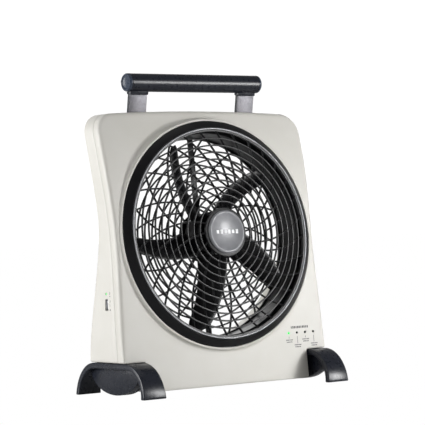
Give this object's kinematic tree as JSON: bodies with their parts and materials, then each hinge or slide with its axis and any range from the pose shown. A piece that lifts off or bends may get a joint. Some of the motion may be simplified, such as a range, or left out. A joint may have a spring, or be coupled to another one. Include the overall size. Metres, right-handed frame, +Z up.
{
  "type": "box fan",
  "caption": "Free-standing battery box fan: leaning plastic housing, round ring-and-spiral grilles, rotor with hub motor, arched feet and a fold-down carrying handle.",
  "frame": {"origin": "on the floor, midway between the feet, under the middle of their length", "axes": "+Z up, +Y out of the back (air is blown towards -Y), +X to the right seen from the front"},
  "size_m": [0.3146, 0.152, 0.397],
  "materials": {
    "housing": "satin, fine grain",
    "black": "semi-gloss moulded",
    "slate": "semi-gloss, blue-black",
    "badge": "satin grey",
    "strap": "brushed along its length, satin",
    "steel": "plated",
    "copper_brass": "machined",
    "zinc": "zinc plated",
    "board": "solder mask",
    "lens_lit": "translucent, lit green",
    "lens": "translucent, unlit",
    "cell": "printed jacket",
    "magnet": "sintered"
  },
  "bodies": {
    "root": {"front_housing": "housing", "rear_housing": "housing", "housing_screw_1": "zinc", "housing_screw_2": "zinc", "housing_screw_3": "zinc", "housing_screw_4": "zinc", "front_bezel": "black", "front_grille": "black", "hub_badge": "badge", "duct_ring": "black", "motor_can": "steel", "motor_end_cap": "black", "motor_bush_front": "copper_brass", "motor_bush_rear": "copper_brass", "motor_magnet_left": "magnet", "motor_magnet_right": "magnet", "motor_mount": "black", "motor_screw_left": "zinc", "motor_screw_right": "zinc", "rear_grille": "black", "left_foot": "slate", "right_foot": "slate", "foot_screw_1": "zinc", "foot_screw_2": "zinc", "foot_screw_3": "zinc", "foot_screw_4": "zinc", "handle_pin_left": "steel", "handle_pin_right": "steel", "battery_tray": "black", "cell_front_1": "cell", "cell_front_2": "cell", "cell_front_3": "cell", "cell_rear_1": "cell", "cell_rear_2": "cell", "cell_rear_3": "cell", "contact_plate_left": "steel", "contact_plate_right": "steel", "contact_spring_front": "steel", "contact_spring_rear": "steel", "door_pin": "steel", "indicator_led_1": "lens_lit", "indicator_led_2": "lens", "indicator_led_3": "lens", "indicator_led_4": "lens", "control_board": "board", "usb_socket": "steel", "usb_board": "board", "side_led": "lens_lit", "switch_body": "black", "dc_jack": "black"},
    "rotor": {"fan_blade": "black", "motor_shaft": "steel", "motor_armature": "copper_brass"},
    "handle": {"handle_grip": "slate", "grip_cap_left": "slate", "grip_cap_right": "slate", "handle_strap_left": "strap", "handle_strap_right": "strap"},
    "door": {"battery_door": "housing"},
    "rocker": {"switch_rocker": "black"}
  },
  "joints": [
    {"name": "blade_spin", "type": "hinge", "parent": "root", "child": "rotor", "pos_m": [0, -0.0226, 0.194], "axis": [0, -0.9942, 0.108], "continuous": true},
    {"name": "handle_fold", "type": "hinge", "parent": "root", "child": "handle", "pos_m": [0, 0.03105, 0.333], "axis": [-1, 0, 0], "range_deg": [0, 160]},
    {"name": "door_swing", "type": "hinge", "parent": "root", "child": "door", "pos_m": [0, 0.04215, 0.0129], "axis": [-1, 0, 0], "range_deg": [0, 88]},
    {"name": "switch_rock", "type": "hinge", "parent": "root", "child": "rocker", "pos_m": [0.1514, 0.0025, 0.118], "axis": [0, 1, 0], "range_deg": [-7, 7]}
  ]
}
